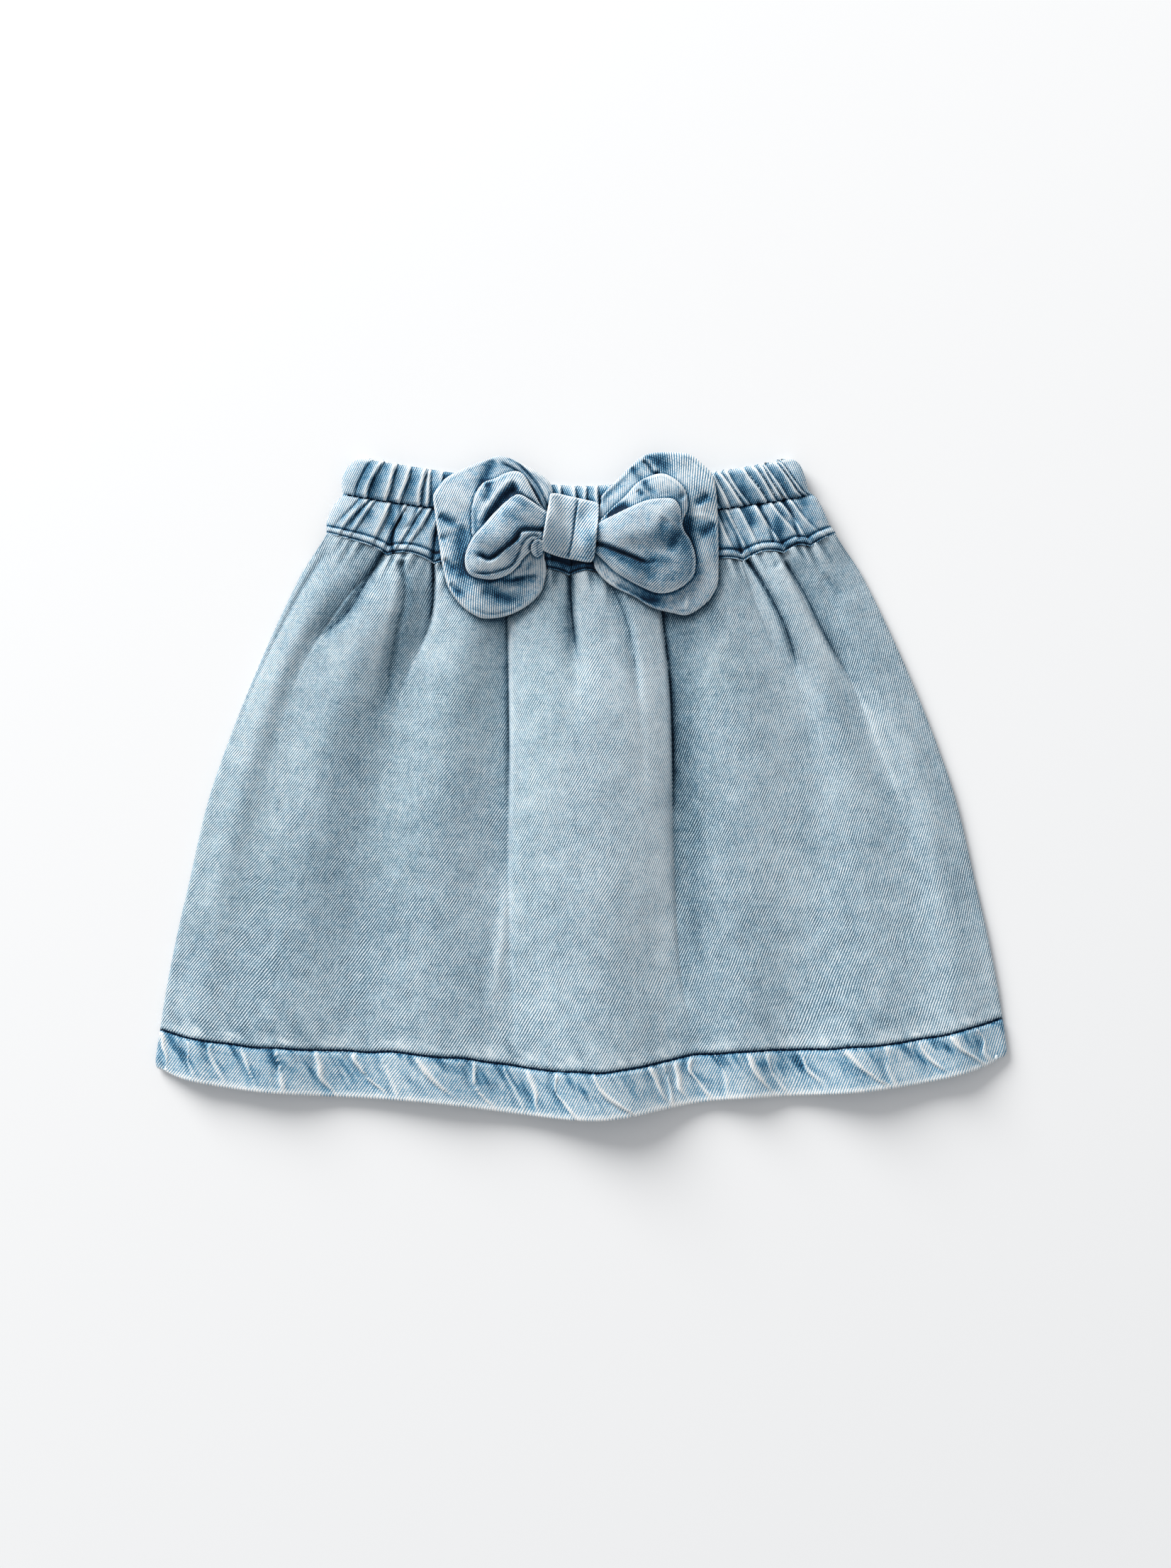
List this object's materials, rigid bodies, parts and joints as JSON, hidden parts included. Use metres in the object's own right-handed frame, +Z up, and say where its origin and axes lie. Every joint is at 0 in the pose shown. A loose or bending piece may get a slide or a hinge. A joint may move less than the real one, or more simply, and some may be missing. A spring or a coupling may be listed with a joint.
{
  "type": "denim skirt",
  "caption": "A toddler's gathered denim skirt with an elastic waistband and a double bow at its front, laid flat on its back.",
  "frame": {"origin": "on the surface that the skirt lies on, under the middle of its outline", "axes": "+Z points up from that surface, +Y runs from the hem to the waist, +X runs across the skirt to the right of someone who looks down on its front"},
  "size_m": [0.361, 0.2818, 0.0257],
  "materials": {
    "denim": "matt washed twill",
    "band_denim": "matt washed twill, pale on the gathers",
    "bow_denim": "matt washed twill",
    "thread": "matt sewing thread"
  },
  "bodies": {
    "root": {"front_panel": "denim", "back_panel": "denim", "waistband_front": "band_denim", "waistband_back": "band_denim", "bow_outer_left": "bow_denim", "bow_outer_right": "bow_denim", "bow_inner_left": "bow_denim", "bow_inner_right": "bow_denim", "bow_knot": "bow_denim"}
  },
  "joints": []
}
